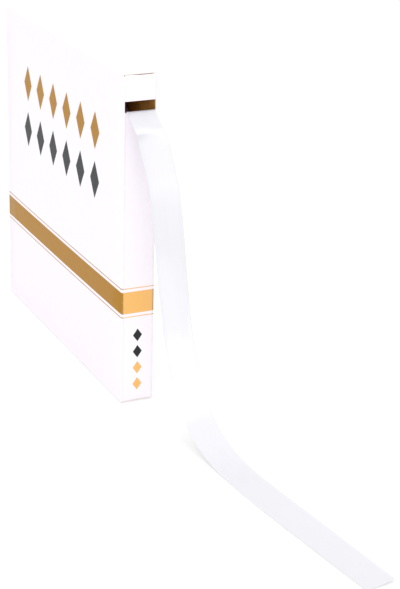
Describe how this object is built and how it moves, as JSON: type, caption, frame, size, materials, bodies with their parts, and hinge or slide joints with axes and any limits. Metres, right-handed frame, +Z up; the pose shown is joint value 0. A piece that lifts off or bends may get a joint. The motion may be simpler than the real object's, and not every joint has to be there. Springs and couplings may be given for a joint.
{
  "type": "roll of satin ribbon in a dispenser carton",
  "caption": "Flat dispenser carton on its narrow base, holding a wound roll of white satin ribbon whose loose end hangs from the slot in the narrow front and runs out on the surface.",
  "frame": {"origin": "middle of the carton's base, on the surface that it stands on", "axes": "+X out of the narrow front, the way the ribbon leaves; +Y across the carton's thickness, to the side that the loose end drifts to; +Z up"},
  "size_m": [0.3814, 0.0392, 0.173],
  "materials": {
    "white_board": "coated white board with a soft sheen, printed with a plain gold band, bare kraft inside",
    "white_satin": "woven satin, smooth and softly glossy"
  },
  "bodies": {
    "root": {"carton": "white_board", "ribbon_roll": "white_satin", "ribbon_tail": "white_satin"}
  },
  "joints": []
}
